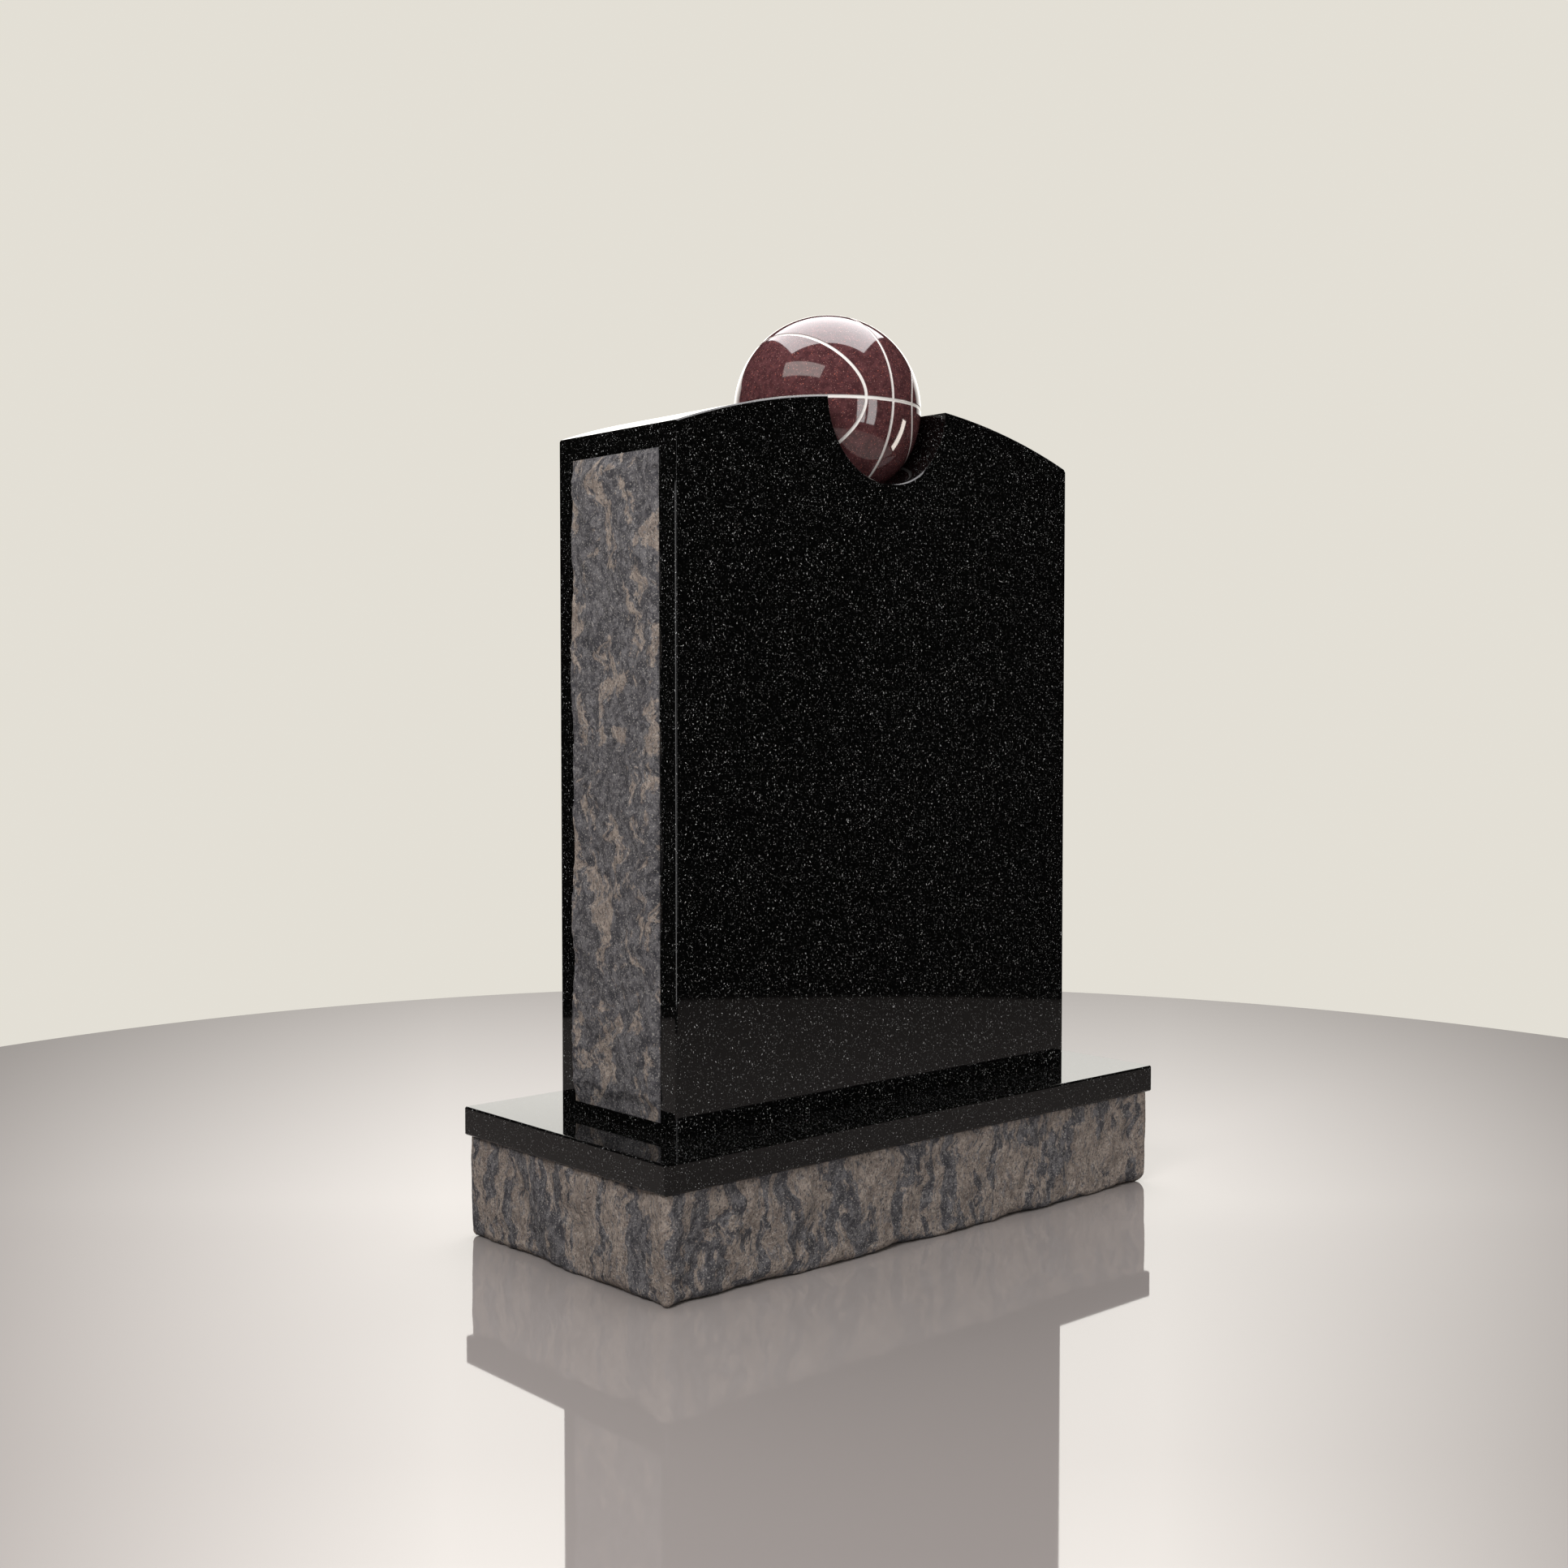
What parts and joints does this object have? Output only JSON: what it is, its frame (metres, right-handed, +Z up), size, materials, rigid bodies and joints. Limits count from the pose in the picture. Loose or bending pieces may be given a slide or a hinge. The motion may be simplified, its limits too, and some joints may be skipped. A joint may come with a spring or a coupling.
{
  "type": "headstone",
  "caption": "Upright polished black granite headstone with a stone ball bedded in its cambered top, pitched side panels and a rock-faced base.",
  "frame": {"origin": "middle of the underside of the base", "axes": "+X along the face to the viewer's right when facing the front, -Y out of the front, +Z up"},
  "size_m": [0.75, 0.355, 1.019],
  "materials": {
    "black_granite": "mirror polished, fine silver-grey flecks",
    "maroon_granite": "polished, pale lines cut in",
    "pitched_granite": "rock-pitched, matt, blue-grey and taupe veins"
  },
  "bodies": {
    "root": {"tablet": "black_granite", "ball": "maroon_granite", "side_panel_left": "pitched_granite", "side_panel_right": "pitched_granite", "cap_slab": "black_granite", "rock_base": "pitched_granite"}
  },
  "joints": []
}
